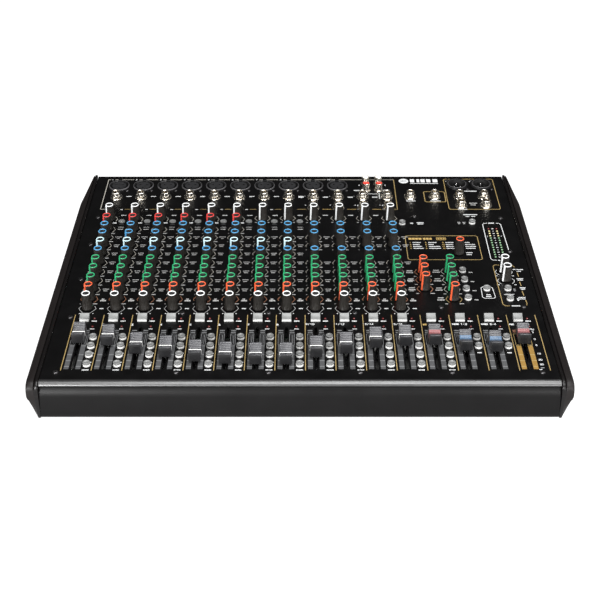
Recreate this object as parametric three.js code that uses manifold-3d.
// Compact sixteen-input mixing console.
// A flat sloping steel control panel sits on a folded sheet-steel tray between two
// moulded end cheeks, with a front rail below the panel's front edge. Every fader and
// every mute key is a piece of its own, with a sample of the rotary and push controls;
// the remaining controls stand on the two circuit boards that carry them.
// Millimetres, +X to the operator's right, +Y away from the operator, +Z up.
// Origin: centre of the bounding box in plan, on the surface the feet stand on.

import * as THREE from 'three';
import { mergeVertices } from 'three/addons/utils/BufferGeometryUtils.js';
import Module from 'manifold-3d';

const wasm = await Module();
wasm.setup();

// ---------------------------------------------------------------- dimensions
const TILT = 8 * Math.PI / 180;      // slope of the control panel
const YF = -185.75;                  // panel front edge in Y
const ZF = 40.6;                     // panel front edge in Z
const GAP = 0.3;                     // clearance between neighbouring pieces
const PANEL_HALF = 227.7;            // half width of panel, tray and rail
const PANEL_LEN = 376;               // panel length along its slope
const PANEL_T = 1.5;                 // panel sheet
const CHEEK_IN = 228.0;              // inner face of an end cheek
const CHEEK_OUT = 239.0;             // outer face of an end cheek
const CHEEK_Z0 = 4.5;                // underside of a cheek
const TRAY_T = 1.2;                  // tray sheet
const TRAY_Z0 = 6.0;                 // underside of the tray
const TRAY_Y0 = 3.4, TRAY_Y1 = 371.9;  // tray front and rear faces, from the panel's front edge
const FOOT_R = 8, FOOT_H = TRAY_Z0 - GAP;
const PITCH = 27;                    // channel strip pitch
const COL0 = -201.5;                 // centre of the first strip's controls
const col = i => COL0 + PITCH * i;
const BTN_DU = 12.2;                 // assign-button column, right of its strip's centre

const V = {                          // rows, measured up the panel from its front edge
  gain: 282, comp: 260.5, hi: 244, mid: 228, freq: 212, low: 195,
  aux1: 178.5, aux2: 162.5, aux3: 146, fx: 130, pan: 114,
  mute: 96.25, bus: [66.6, 53.0, 39.8, 25.9], locut: 277,
  xlr: 355, jack: 329.6, jack2: 306,
};
const SLOT_V0 = 19.5, SLOT_V1 = 83.6, SLOT_W = 2.8;      // fader slots
const FADER_LO = 21.55, FADER_HI = 81.55;                // cap centre at the ends of its 60 mm travel
const FADER_V = [64.9, 61.2, 48.9, 43.6, 37.3, 34.1, 33.0, 33.0, 43.4, 49.0, 57.4, 60.4, 62.0, 53.4, 51.8, 63.7];
const FADER_NAME = ['channel_1', 'channel_2', 'channel_3', 'channel_4', 'channel_5', 'channel_6', 'channel_7',
  'channel_8', 'channel_9_10', 'channel_11_12', 'channel_13_14', 'channel_15_16', 'effects', 'bus_1_2', 'bus_3_4', 'main'];

const KNOB_R0 = 5.1, KNOB_R1 = 4.0, KNOB_H0 = 0.7, KNOB_H = 18;   // rotary caps
const SHAFT_R = 2.0, SHAFT_HOLE_R = 2.9;
const POT_H = -12.6, POT_T = 1.4;                        // rotary-control board
const SW_H = -18.6, SW_T = 1.4;                          // fader and switch board
const IO_H = -24.0, IO_T = 1.6;                          // connector boards

// ---------------------------------------------------------------- colours
const mat = (c, r, m) => new THREE.MeshStandardMaterial({ color: new THREE.Color(...c), roughness: r, metalness: m });
const panelBlack = () => mat([0.030, 0.028, 0.029], 0.55, 0.3);
const steelBlack = () => mat([0.028, 0.028, 0.030], 0.45, 0.4);
const cheekBlack = () => mat([0.034, 0.028, 0.026], 0.42, 0.0);
const knobBlack = () => mat([0.022, 0.022, 0.023], 0.5, 0.0);
const keyGrey = () => mat([0.62, 0.62, 0.60], 0.45, 0.0);
const rubber = () => mat([0.03, 0.03, 0.03], 0.8, 0.0);
const board = () => mat([0.06, 0.22, 0.12], 0.6, 0.0);
const chrome = () => mat([0.62, 0.62, 0.63], 0.2, 1.0);

// ---------------------------------------------------------------- solid helpers
function solid(geom) {
  geom.deleteAttribute('normal');
  geom.deleteAttribute('uv');
  const g = mergeVertices(geom, 1e-5);
  return new wasm.Manifold(new wasm.Mesh({
    numProp: 3,
    vertProperties: new Float32Array(g.attributes.position.array),
    triVerts: new Uint32Array(g.index.array),
  }));
}
function geometry(man) {
  const m = man.getMesh();
  const g = new THREE.BufferGeometry();
  const n = m.numProp, nv = m.vertProperties.length / n;
  const pos = new Float32Array(nv * 3);
  for (let i = 0; i < nv; i++) for (let k = 0; k < 3; k++) pos[3 * i + k] = m.vertProperties[n * i + k];
  g.setAttribute('position', new THREE.BufferAttribute(pos, 3));
  g.setIndex(new THREE.BufferAttribute(new Uint32Array(m.triVerts), 1));
  g.computeVertexNormals();
  return g;
}
// block between two corners
function block(x0, x1, y0, y1, z0, z1) {
  return solid(new THREE.BoxGeometry(x1 - x0, y1 - y0, z1 - z0)
    .translate((x0 + x1) / 2, (y0 + y1) / 2, (z0 + z1) / 2));
}
// straight or tapered post along Z: n sides, turned by a
function post(x, y, z0, z1, r0, r1, n, a = 0) {
  return solid(new THREE.CylinderGeometry(r1, r0, z1 - z0, n).rotateX(Math.PI / 2).rotateZ(a)
    .translate(x, y, (z0 + z1) / 2));
}
const square = (x, y, z0, z1, half) => block(x - half, x + half, y - half, y + half, z0, z1);
// polygon in (Y, Z), extruded along X from x0 to x1
function sideProfile(pts, x0, x1) {
  const s = new THREE.Shape(pts.map(p => new THREE.Vector2(p[0], p[1])));
  const g = new THREE.ExtrudeGeometry(s, { depth: x1 - x0, bevelEnabled: false, steps: 1 });
  g.applyMatrix4(new THREE.Matrix4().set(0, 0, 1, x0, 1, 0, 0, 0, 0, 1, 0, 0, 0, 0, 0, 1));
  return solid(g);
}
// polygon in (X, Z), extruded along Y from y0 to y1
function frontProfile(pts, y0, y1) {
  const s = new THREE.Shape(pts.map(p => new THREE.Vector2(p[0], p[1])));
  const g = new THREE.ExtrudeGeometry(s, { depth: y1 - y0, bevelEnabled: false, steps: 1 });
  // local x -> X, local y -> Z, local z -> -Y
  g.applyMatrix4(new THREE.Matrix4().set(1, 0, 0, 0, 0, 0, -1, y1, 0, 1, 0, 0, 0, 0, 0, 1));
  return solid(g);
}
const join = list => wasm.Manifold.union(list);

const root = new THREE.Group();
const slope = new THREE.Group();     // frame of the control panel: X across, Y up the slope, Z out of it
slope.position.set(0, YF, ZF);
slope.rotation.x = TILT;
root.add(slope);
function add(name, man, material, group = root, pos = null) {
  const m = new THREE.Mesh(geometry(man), material);
  m.name = name;
  if (pos) m.position.set(...pos);
  group.add(m);
  return m;
}
// point of the upright frame, measured from the panel's front edge, in panel coordinates
const toPanel = (y, z) => [y * Math.cos(TILT) + z * Math.sin(TILT), -y * Math.sin(TILT) + z * Math.cos(TILT)];
const toPlan = (v, h) => [YF + v * Math.cos(TILT) - h * Math.sin(TILT), ZF + v * Math.sin(TILT) + h * Math.cos(TILT)];

// ---------------------------------------------------------------- layout of the controls
const knobs = [];                    // [column position, row, strip, name]
for (let i = 0; i < 12; i++) {
  const rows = i < 6 ? ['gain', 'comp', 'hi', 'mid', 'freq', 'low', 'aux1', 'aux2', 'aux3', 'fx', 'pan']
    : i < 8 ? ['gain', 'hi', 'mid', 'freq', 'low', 'aux1', 'aux2', 'aux3', 'fx', 'pan']
      : ['gain', 'hi', 'mid', 'low', 'aux1', 'aux2', 'aux3', 'fx', 'pan'];
  for (const r of rows) knobs.push([col(i), V[r], i, r]);
}
const masterKnobs = [
  [121.4, 178.5, 'effects_to_aux_1'], [121.4, 163.8, 'effects_to_aux_2'], [121.4, 148.0, 'effects_to_aux_3'],
  [147.7, 179.3, 'aux_master_1'], [147.7, 163.6, 'aux_master_2'], [147.7, 147.2, 'aux_master_3'],
  [147.7, 130.2, 'effects_master'], [202.2, 179.6, 'phones_level'], [202.2, 163.6, 'control_room_level'],
  [161.5, 212.9, 'effects_encoder'],
];
const jointedRows = { gain: 'gain', comp: 'compressor', hi: 'eq_high', mid: 'eq_mid', freq: 'eq_mid_frequency',
  low: 'eq_low', aux1: 'aux_1', pan: 'pan' };
const jointedMaster = ['control_room_level', 'effects_encoder'];
const busButtons = [];               // [u, v, strip, row]
for (let i = 0; i < 13; i++) for (let k = 0; k < 4; k++) busButtons.push([col(i) + BTN_DU, V.bus[k], i, k]);
for (let i = 13; i < 15; i++) for (let k = 0; k < 2; k++) busButtons.push([col(i) + BTN_DU, V.bus[k], i, k]);
const lowCut = [];
for (let i = 0; i < 8; i++) lowCut.push([col(i) + 12.2, V.locut, i]);
const masterButtons = [[161.4, 179.7], [161.4, 162.9], [161.4, 146.8], [161.4, 131.0],
  [181.4, 147.1], [201.8, 147.1], [201.6, 129.9], [182.3, 274.3], [108.1, 272.8]];
const xlr = []; for (let i = 0; i < 10; i++) xlr.push([col(i), V.xlr]);
const jacks = [];
for (let i = 0; i < 12; i++) jacks.push([col(i), V.jack]);
for (let i = 8; i < 12; i++) jacks.push([col(i), V.jack2]);
jacks.push([121.0, 330.5], [147.7, 330.5], [174.9, 330.5], [201.8, 330.5], [174.9, 311.6], [201.8, 311.6]);
const rca = [[73.0, 360.8], [87.3, 360.8], [73.0, 346.2], [87.3, 346.2]];
const maleXlr = [[175.2, 358.2], [202.4, 358.2]];

// ---------------------------------------------------------------- control panel
{
  const lip = (y, z) => toPanel(y, z);
  const prof = [[PANEL_LEN, 0], [5.2, 0], [2.9, -0.3], [1.2, -1.1], lip(0.1, -2.2), lip(0, -3.3), lip(1.4, -3.3),
    lip(1.6, -2.7), [2.9, -PANEL_T], [5.2, -PANEL_T], [PANEL_LEN, -PANEL_T]];
  let p = sideProfile(prof.reverse(), -PANEL_HALF, PANEL_HALF);
  const cuts = [];
  for (let i = 0; i < 16; i++) {
    cuts.push(block(col(i) - SLOT_W / 2, col(i) + SLOT_W / 2, SLOT_V0, SLOT_V1, -4, 2));
    cuts.push(block(col(i) - 4.75, col(i) + 4.75, V.mute - 3.8, V.mute + 3.8, -4, 2));
  }
  const shaftSlot = (u, v0, v1) => cuts.push(block(u - 2.1, u + 2.1, v0 - 2.1, v1 + 2.1, -4, 2));
  const shaftHole = (u, v) => cuts.push(post(u, v, -4, 2, SHAFT_HOLE_R, SHAFT_HOLE_R, 8, Math.PI / 8));
  for (let i = 0; i < 12; i++) {
    if (i === 0) {
      for (const [u, v, s, r] of knobs) if (s === 0 && jointedRows[r]) shaftHole(u, v);
      shaftSlot(col(0), V.fx, V.aux2);
      continue;
    }
    shaftSlot(col(i), V.gain, V.gain);
    shaftSlot(col(i), V.low, i < 6 ? V.comp : V.hi);
    shaftSlot(col(i), V.pan, V.aux1);
  }
  shaftSlot(121.4, 148, 178.5);
  shaftSlot(147.7, 130.2, 179.3);
  shaftSlot(202.2, 179.6, 179.6);
  shaftHole(202.2, 163.6);
  shaftHole(161.5, 212.9);
  const buttonSlot = (u, v0, v1) => cuts.push(block(u - 3.8, u + 3.8, v0 - 3.8, v1 + 3.8, -4, 2));
  const buttonHole = (u, v) => cuts.push(post(u, v, -4, 2, 4.1, 4.1, 8, Math.PI / 8));
  for (let i = 1; i < 15; i++) buttonSlot(col(i) + BTN_DU, i < 13 ? V.bus[3] : V.bus[1], V.bus[0]);
  buttonSlot(col(0) + BTN_DU, V.bus[3], V.bus[1]);
  buttonHole(col(0) + BTN_DU, V.bus[0]);
  for (const [u, v] of [...lowCut, ...masterButtons]) buttonHole(u, v);
  for (const [u, v] of xlr) cuts.push(post(u, v, -4, 2, 9.6, 9.6, 8, Math.PI / 8));
  for (const [u, v] of maleXlr) cuts.push(post(u, v, -4, 2, 11.4, 11.4, 8, Math.PI / 8));
  for (const [u, v] of jacks) cuts.push(post(u, v, -4, 2, 5.6, 5.6, 6));
  for (const [u, v] of rca) cuts.push(post(u, v, -4, 2, 3.6, 3.6, 6));
  p = p.subtract(join(cuts));
  add('top_panel', p, panelBlack(), slope);
}

// ---------------------------------------------------------------- tray, rail, cheeks, feet
{
  const top = y => ZF + y * Math.tan(TILT) - PANEL_T / Math.cos(TILT) - GAP;
  const outer = sideProfile([[YF + TRAY_Y0, TRAY_Z0], [YF + TRAY_Y1, TRAY_Z0], [YF + TRAY_Y1, top(TRAY_Y1)],
    [YF + TRAY_Y0, top(TRAY_Y0)]], -PANEL_HALF, PANEL_HALF);
  const inner = sideProfile([[YF + TRAY_Y0 + TRAY_T, TRAY_Z0 + TRAY_T], [YF + TRAY_Y1 - TRAY_T, TRAY_Z0 + TRAY_T],
    [YF + TRAY_Y1 - TRAY_T, 200], [YF + TRAY_Y0 + TRAY_T, 200]], -PANEL_HALF + TRAY_T, PANEL_HALF - TRAY_T);
  let tray = outer.subtract(inner);
  tray = tray.subtract(block(-184, -129, YF + 360, YF + 380, 25, 51));     // mains module cut-out
  add('base_tray', tray, steelBlack());

  const rail = sideProfile([[YF + 3.1, ZF - 34.6], [YF + 3.1, ZF - 4.0], [YF + 2.4, ZF - 4.0], [YF + 1.3, ZF - 5.0],
    [YF + 0.2, ZF - 7.4], [YF - 0.6, ZF - 10.6], [YF - 0.9, ZF - 14], [YF - 0.9, ZF - 31], [YF + 0.2, ZF - 34.6]], -PANEL_HALF, PANEL_HALF);
  add('front_rail', rail, steelBlack());
}
function cheek(side) {
  // side profile: front corner set back a little from the front face, top edge parallel to the panel
  const [y1t, z1t] = [toPlan(376.3, 1.4)[0], toPlan(376.3, 1.4)[1]];
  const f = toPlan(0, 1.4);
  let c = sideProfile([[YF + 1.5, CHEEK_Z0], [YF + 372.3, CHEEK_Z0], [y1t, z1t],
    [f[0] + 1.8, f[1] + 0.1], [YF - 0.6, ZF - 0.9], [YF - 2.6, ZF - 3.6], [YF - 3.3, ZF - 6.4], [YF - 3.3, ZF - 12.5]],
  CHEEK_IN, CHEEK_OUT);
  // outer top facet, a little below the raised rim beside the panel
  const facet = frontProfile([[232.2, 10], [232.2, 1.3], [233.0, 0.3], [238.4, -0.4], [240, -2.2], [240, 10]].reverse(), -30, 420);
  const tilt = m => m.rotate([8, 0, 0]).translate([0, YF, ZF]);
  c = c.subtract(tilt(facet));
  // lower bevel of the outer face
  c = c.subtract(frontProfile([[CHEEK_OUT + 1, 23.6], [CHEEK_OUT, 23.6], [232, CHEEK_Z0], [232, CHEEK_Z0 - 1], [CHEEK_OUT + 1, CHEEK_Z0 - 1]].reverse(), YF - 20, YF + 400));
  // outer face drawn in towards the rear
  const yr = YF + 312, ye = YF + 374;
  const rear = new THREE.Shape([[CHEEK_OUT, yr], [CHEEK_OUT + 8, yr], [CHEEK_OUT + 8, ye + 8], [232, ye + 8], [232, ye]].map(p => new THREE.Vector2(...p)));
  c = c.subtract(solid(new THREE.ExtrudeGeometry(rear, { depth: 200, bevelEnabled: false, steps: 1 })));
  if (side < 0) c = c.mirror([1, 0, 0]);
  return c;
}
add('left_cheek', cheek(-1), cheekBlack());
add('right_cheek', cheek(1), cheekBlack());
for (const [n, x, y] of [['foot_front_left', -200, 32], ['foot_front_right', 200, 32], ['foot_rear_left', -200, 340], ['foot_rear_right', 200, 340]])
  add(n, post(x, YF + y, 0, FOOT_H, FOOT_R - 0.8, FOOT_R, 12), rubber());

// ---------------------------------------------------------------- inside: power supply; rear: mains module and rocker
add('power_supply', join([block(-206, -86, YF + 222, YF + 330, TRAY_Z0 + TRAY_T + GAP, 12),
  block(-204, -88, YF + 224, YF + 328, 11.5, 34), block(-196, -128, YF + 232, YF + 300, 33, 44)]), mat([0.55, 0.56, 0.58], 0.4, 0.8));
{
  const y0 = YF + TRAY_Y1;
  let m = join([block(-187, -126, y0 + GAP, y0 + 2.3, 22, 54), block(-183.6, -129.4, y0 - 20, y0 + 1, 25.4, 50.6)]);
  // inlet cup with three contact blades
  m = m.subtract(block(-181.4, -158.6, y0 - 15, y0 + 5, 29.6, 46.4));
  m = m.add(block(-171.1, -168.9, y0 - 16, y0 - 1.5, 40.2, 44.2));
  m = m.add(block(-178.1, -175.9, y0 - 16, y0 - 1.5, 32.8, 36.8));
  m = m.add(block(-164.1, -161.9, y0 - 16, y0 - 1.5, 32.8, 36.8));
  // rocker well
  m = m.subtract(block(-149.8, -137.2, y0 - 13, y0 + 5, 27.8, 48.2));
  add('mains_module', m, mat([0.03, 0.03, 0.03], 0.4, 0.0));
  // rocker, pressed in at its lower half; turns about a cross pin at mid height
  const ry = y0 - 2.5, rz = 38;
  const r = sideProfile([[ry - 5.5, rz - 3.4], [ry - 5.5, rz + 3.4], [ry + 1.2, rz + 9.2], [ry + 5.4, rz + 8.9], [ry + 3.2, rz], [ry + 3.0, rz - 9.1], [ry - 0.2, rz - 9.2]].reverse(), -149.4, -137.6);
  add('power_rocker', r, mat([0.03, 0.03, 0.03], 0.35, 0.0));
}

// ---------------------------------------------------------------- connector boards
{
  const parts = [block(-215, 56, 341.6, 368, IO_H, IO_H + IO_T)];
  for (const [u, v] of xlr) {
    parts.push(post(u, v, IO_H + 1, 1, 9.0, 9.0, 8, Math.PI / 8));
    parts.push(post(u, v, GAP, 1.9, 11.1, 10.6, 12));
  }
  add('xlr_input_board', join(parts), mat([0.03, 0.03, 0.03], 0.4, 0.0), slope);
}
{
  const parts = [block(-215, 216, 298, 340, IO_H, IO_H + IO_T), block(64, 216, 339, 369, IO_H, IO_H + IO_T)];
  for (const [u, v] of jacks) {
    parts.push(post(u, v, IO_H + 1, 1, 5.0, 5.0, 6));
    parts.push(post(u, v, GAP, 3.3, 6.5, 6.1, 6));
    parts.push(post(u, v, 3, 7.2, 4.6, 4.5, 8, Math.PI / 8));
  }
  for (const [u, v] of rca) {
    parts.push(post(u, v, IO_H + 1, 1, 3.0, 3.0, 6));
    parts.push(post(u, v, GAP, 9.0, 4.2, 4.1, 8, Math.PI / 8));
  }
  for (const [u, v] of maleXlr) {
    parts.push(post(u, v, IO_H + 1, 1, 10.9, 10.9, 8, Math.PI / 8));
    parts.push(post(u, v, GAP, 2.0, 12.6, 12.2, 12));
  }
  let m = join(parts);
  const cuts = [];
  for (const [u, v] of jacks) cuts.push(post(u, v, -14, 9, 3.5, 3.5, 8, Math.PI / 8));
  for (const [u, v] of maleXlr) cuts.push(post(u, v, -15, 4, 9.4, 9.4, 8, Math.PI / 8));
  m = m.subtract(join(cuts));
  const pins = [];
  for (const [u, v] of maleXlr) for (const [du, dv] of [[0, 4.3], [-3.7, -2.1], [3.7, -2.1]]) pins.push(post(u + du, v + dv, -15.5, -1.5, 1.2, 1.2, 6));
  m = m.add(join(pins));
  add('jack_board', m, chrome(), slope);
}

// ---------------------------------------------------------------- boards with the fixed controls
const capKnob = (u, v, n) => post(u, v, KNOB_H0, KNOB_H, KNOB_R0, KNOB_R1, n, Math.PI / n);
{
  const parts = [block(-215, 216, 104, 292, POT_H - POT_T, POT_H)];
  const fixedKnob = (u, v) => {
    parts.push(square(u, v, POT_H - 0.3, KNOB_H0 + 0.5, 1.5));
    parts.push(capKnob(u, v, 6));
  };
  const potBody = (u, v) => parts.push(block(u - 4.6, u + 4.6, v - 4.6, v + 4.6, POT_H - 0.3, -6.4));
  for (const [u, v, s, r] of knobs) if (!(s === 0 && jointedRows[r])) fixedKnob(u, v); else potBody(u, v);
  for (const [u, v, n] of masterKnobs) if (!jointedMaster.includes(n)) fixedKnob(u, v); else potBody(u, v);
  const fixedButton = (u, v) => {
    parts.push(post(u, v, POT_H - 0.3, 3.5, 3.4, 3.3, 6));
  };
  for (const [u, v, i] of lowCut) if (i > 0) parts.push(post(u, v, POT_H - 0.3, 1.0, 3.5, 3.4, 6));
  for (const [u, v] of masterButtons) fixedButton(u, v);
  add('rotary_control_board', join(parts), board(), slope);
}
{
  const parts = [block(-215, 216, 12, 101, SW_H - SW_T, SW_H)];
  for (const [u, v, s, k] of busButtons) {
    if (s === 0 && k === 0) continue;
    parts.push(post(u, v, SW_H - 0.3, 3.5, 3.4, 3.3, 6));
  }
  add('fader_board', join(parts), board(), slope);
}

// ---------------------------------------------------------------- faders
for (let i = 0; i < 16; i++) {
  const w = 5.5;
  const cap = sideProfile([[-10, 3], [10, 3], [9.7, 12.6], [8.6, 13.2], [1.6, 8.7], [-1.6, 8.7], [-8.6, 13.2], [-9.7, 12.6]], -w, w);
  const stem = block(-0.8, 0.8, -2.0, 2.0, -9, 3.5);
  const slider = block(-4.5, 4.5, -5, 5, -13, -8.5);
  add('fader_' + FADER_NAME[i], join([cap, stem, slider]), knobBlack(), slope, [col(i), FADER_V[i], 0]);
}

// ---------------------------------------------------------------- mute keys
for (let i = 0; i < 16; i++) {
  const key = sideProfile([[-3.45, -2], [3.45, -2], [3.45, 4.9], [2.9, 5.2], [-2.3, 3], [-3.45, 2]], -4.4, 4.4);
  const plunger = block(-2.4, 2.4, -1.5, 1.5, -10, -1.8);
  add('mute_key_' + FADER_NAME[i], join([key, plunger]), keyGrey(), slope, [col(i), V.mute, 0]);
}

// ---------------------------------------------------------------- first strip's rotary controls, encoder, monitor level
const rotary = (name, u, v, colour) => add(name, join([post(0, 0, -6, 1, SHAFT_R, SHAFT_R, 8, Math.PI / 8), post(0, 0, KNOB_H0, KNOB_H, KNOB_R0, KNOB_R1, 8, Math.PI / 8)]),
  colour, slope, [u, v, 0]);
for (const [u, v, s, r] of knobs) if (s === 0 && jointedRows[r]) rotary(`channel_1_${jointedRows[r]}_knob`, u, v, knobBlack());
for (const [u, v, n] of masterKnobs) if (jointedMaster.includes(n)) rotary(`${n}_knob`, u, v, knobBlack());

// ---------------------------------------------------------------- first strip's push buttons
add('channel_1_assign_button', post(0, 0, -8, 3.5, 3.4, 3.3, 8, Math.PI / 8), keyGrey(), slope, [col(0) + BTN_DU, V.bus[0], 0]);
add('channel_1_low_cut_button', post(0, 0, -8, 1.0, 3.5, 3.4, 8, Math.PI / 8), keyGrey(), slope, [lowCut[0][0], lowCut[0][1], 0]);

export default root;
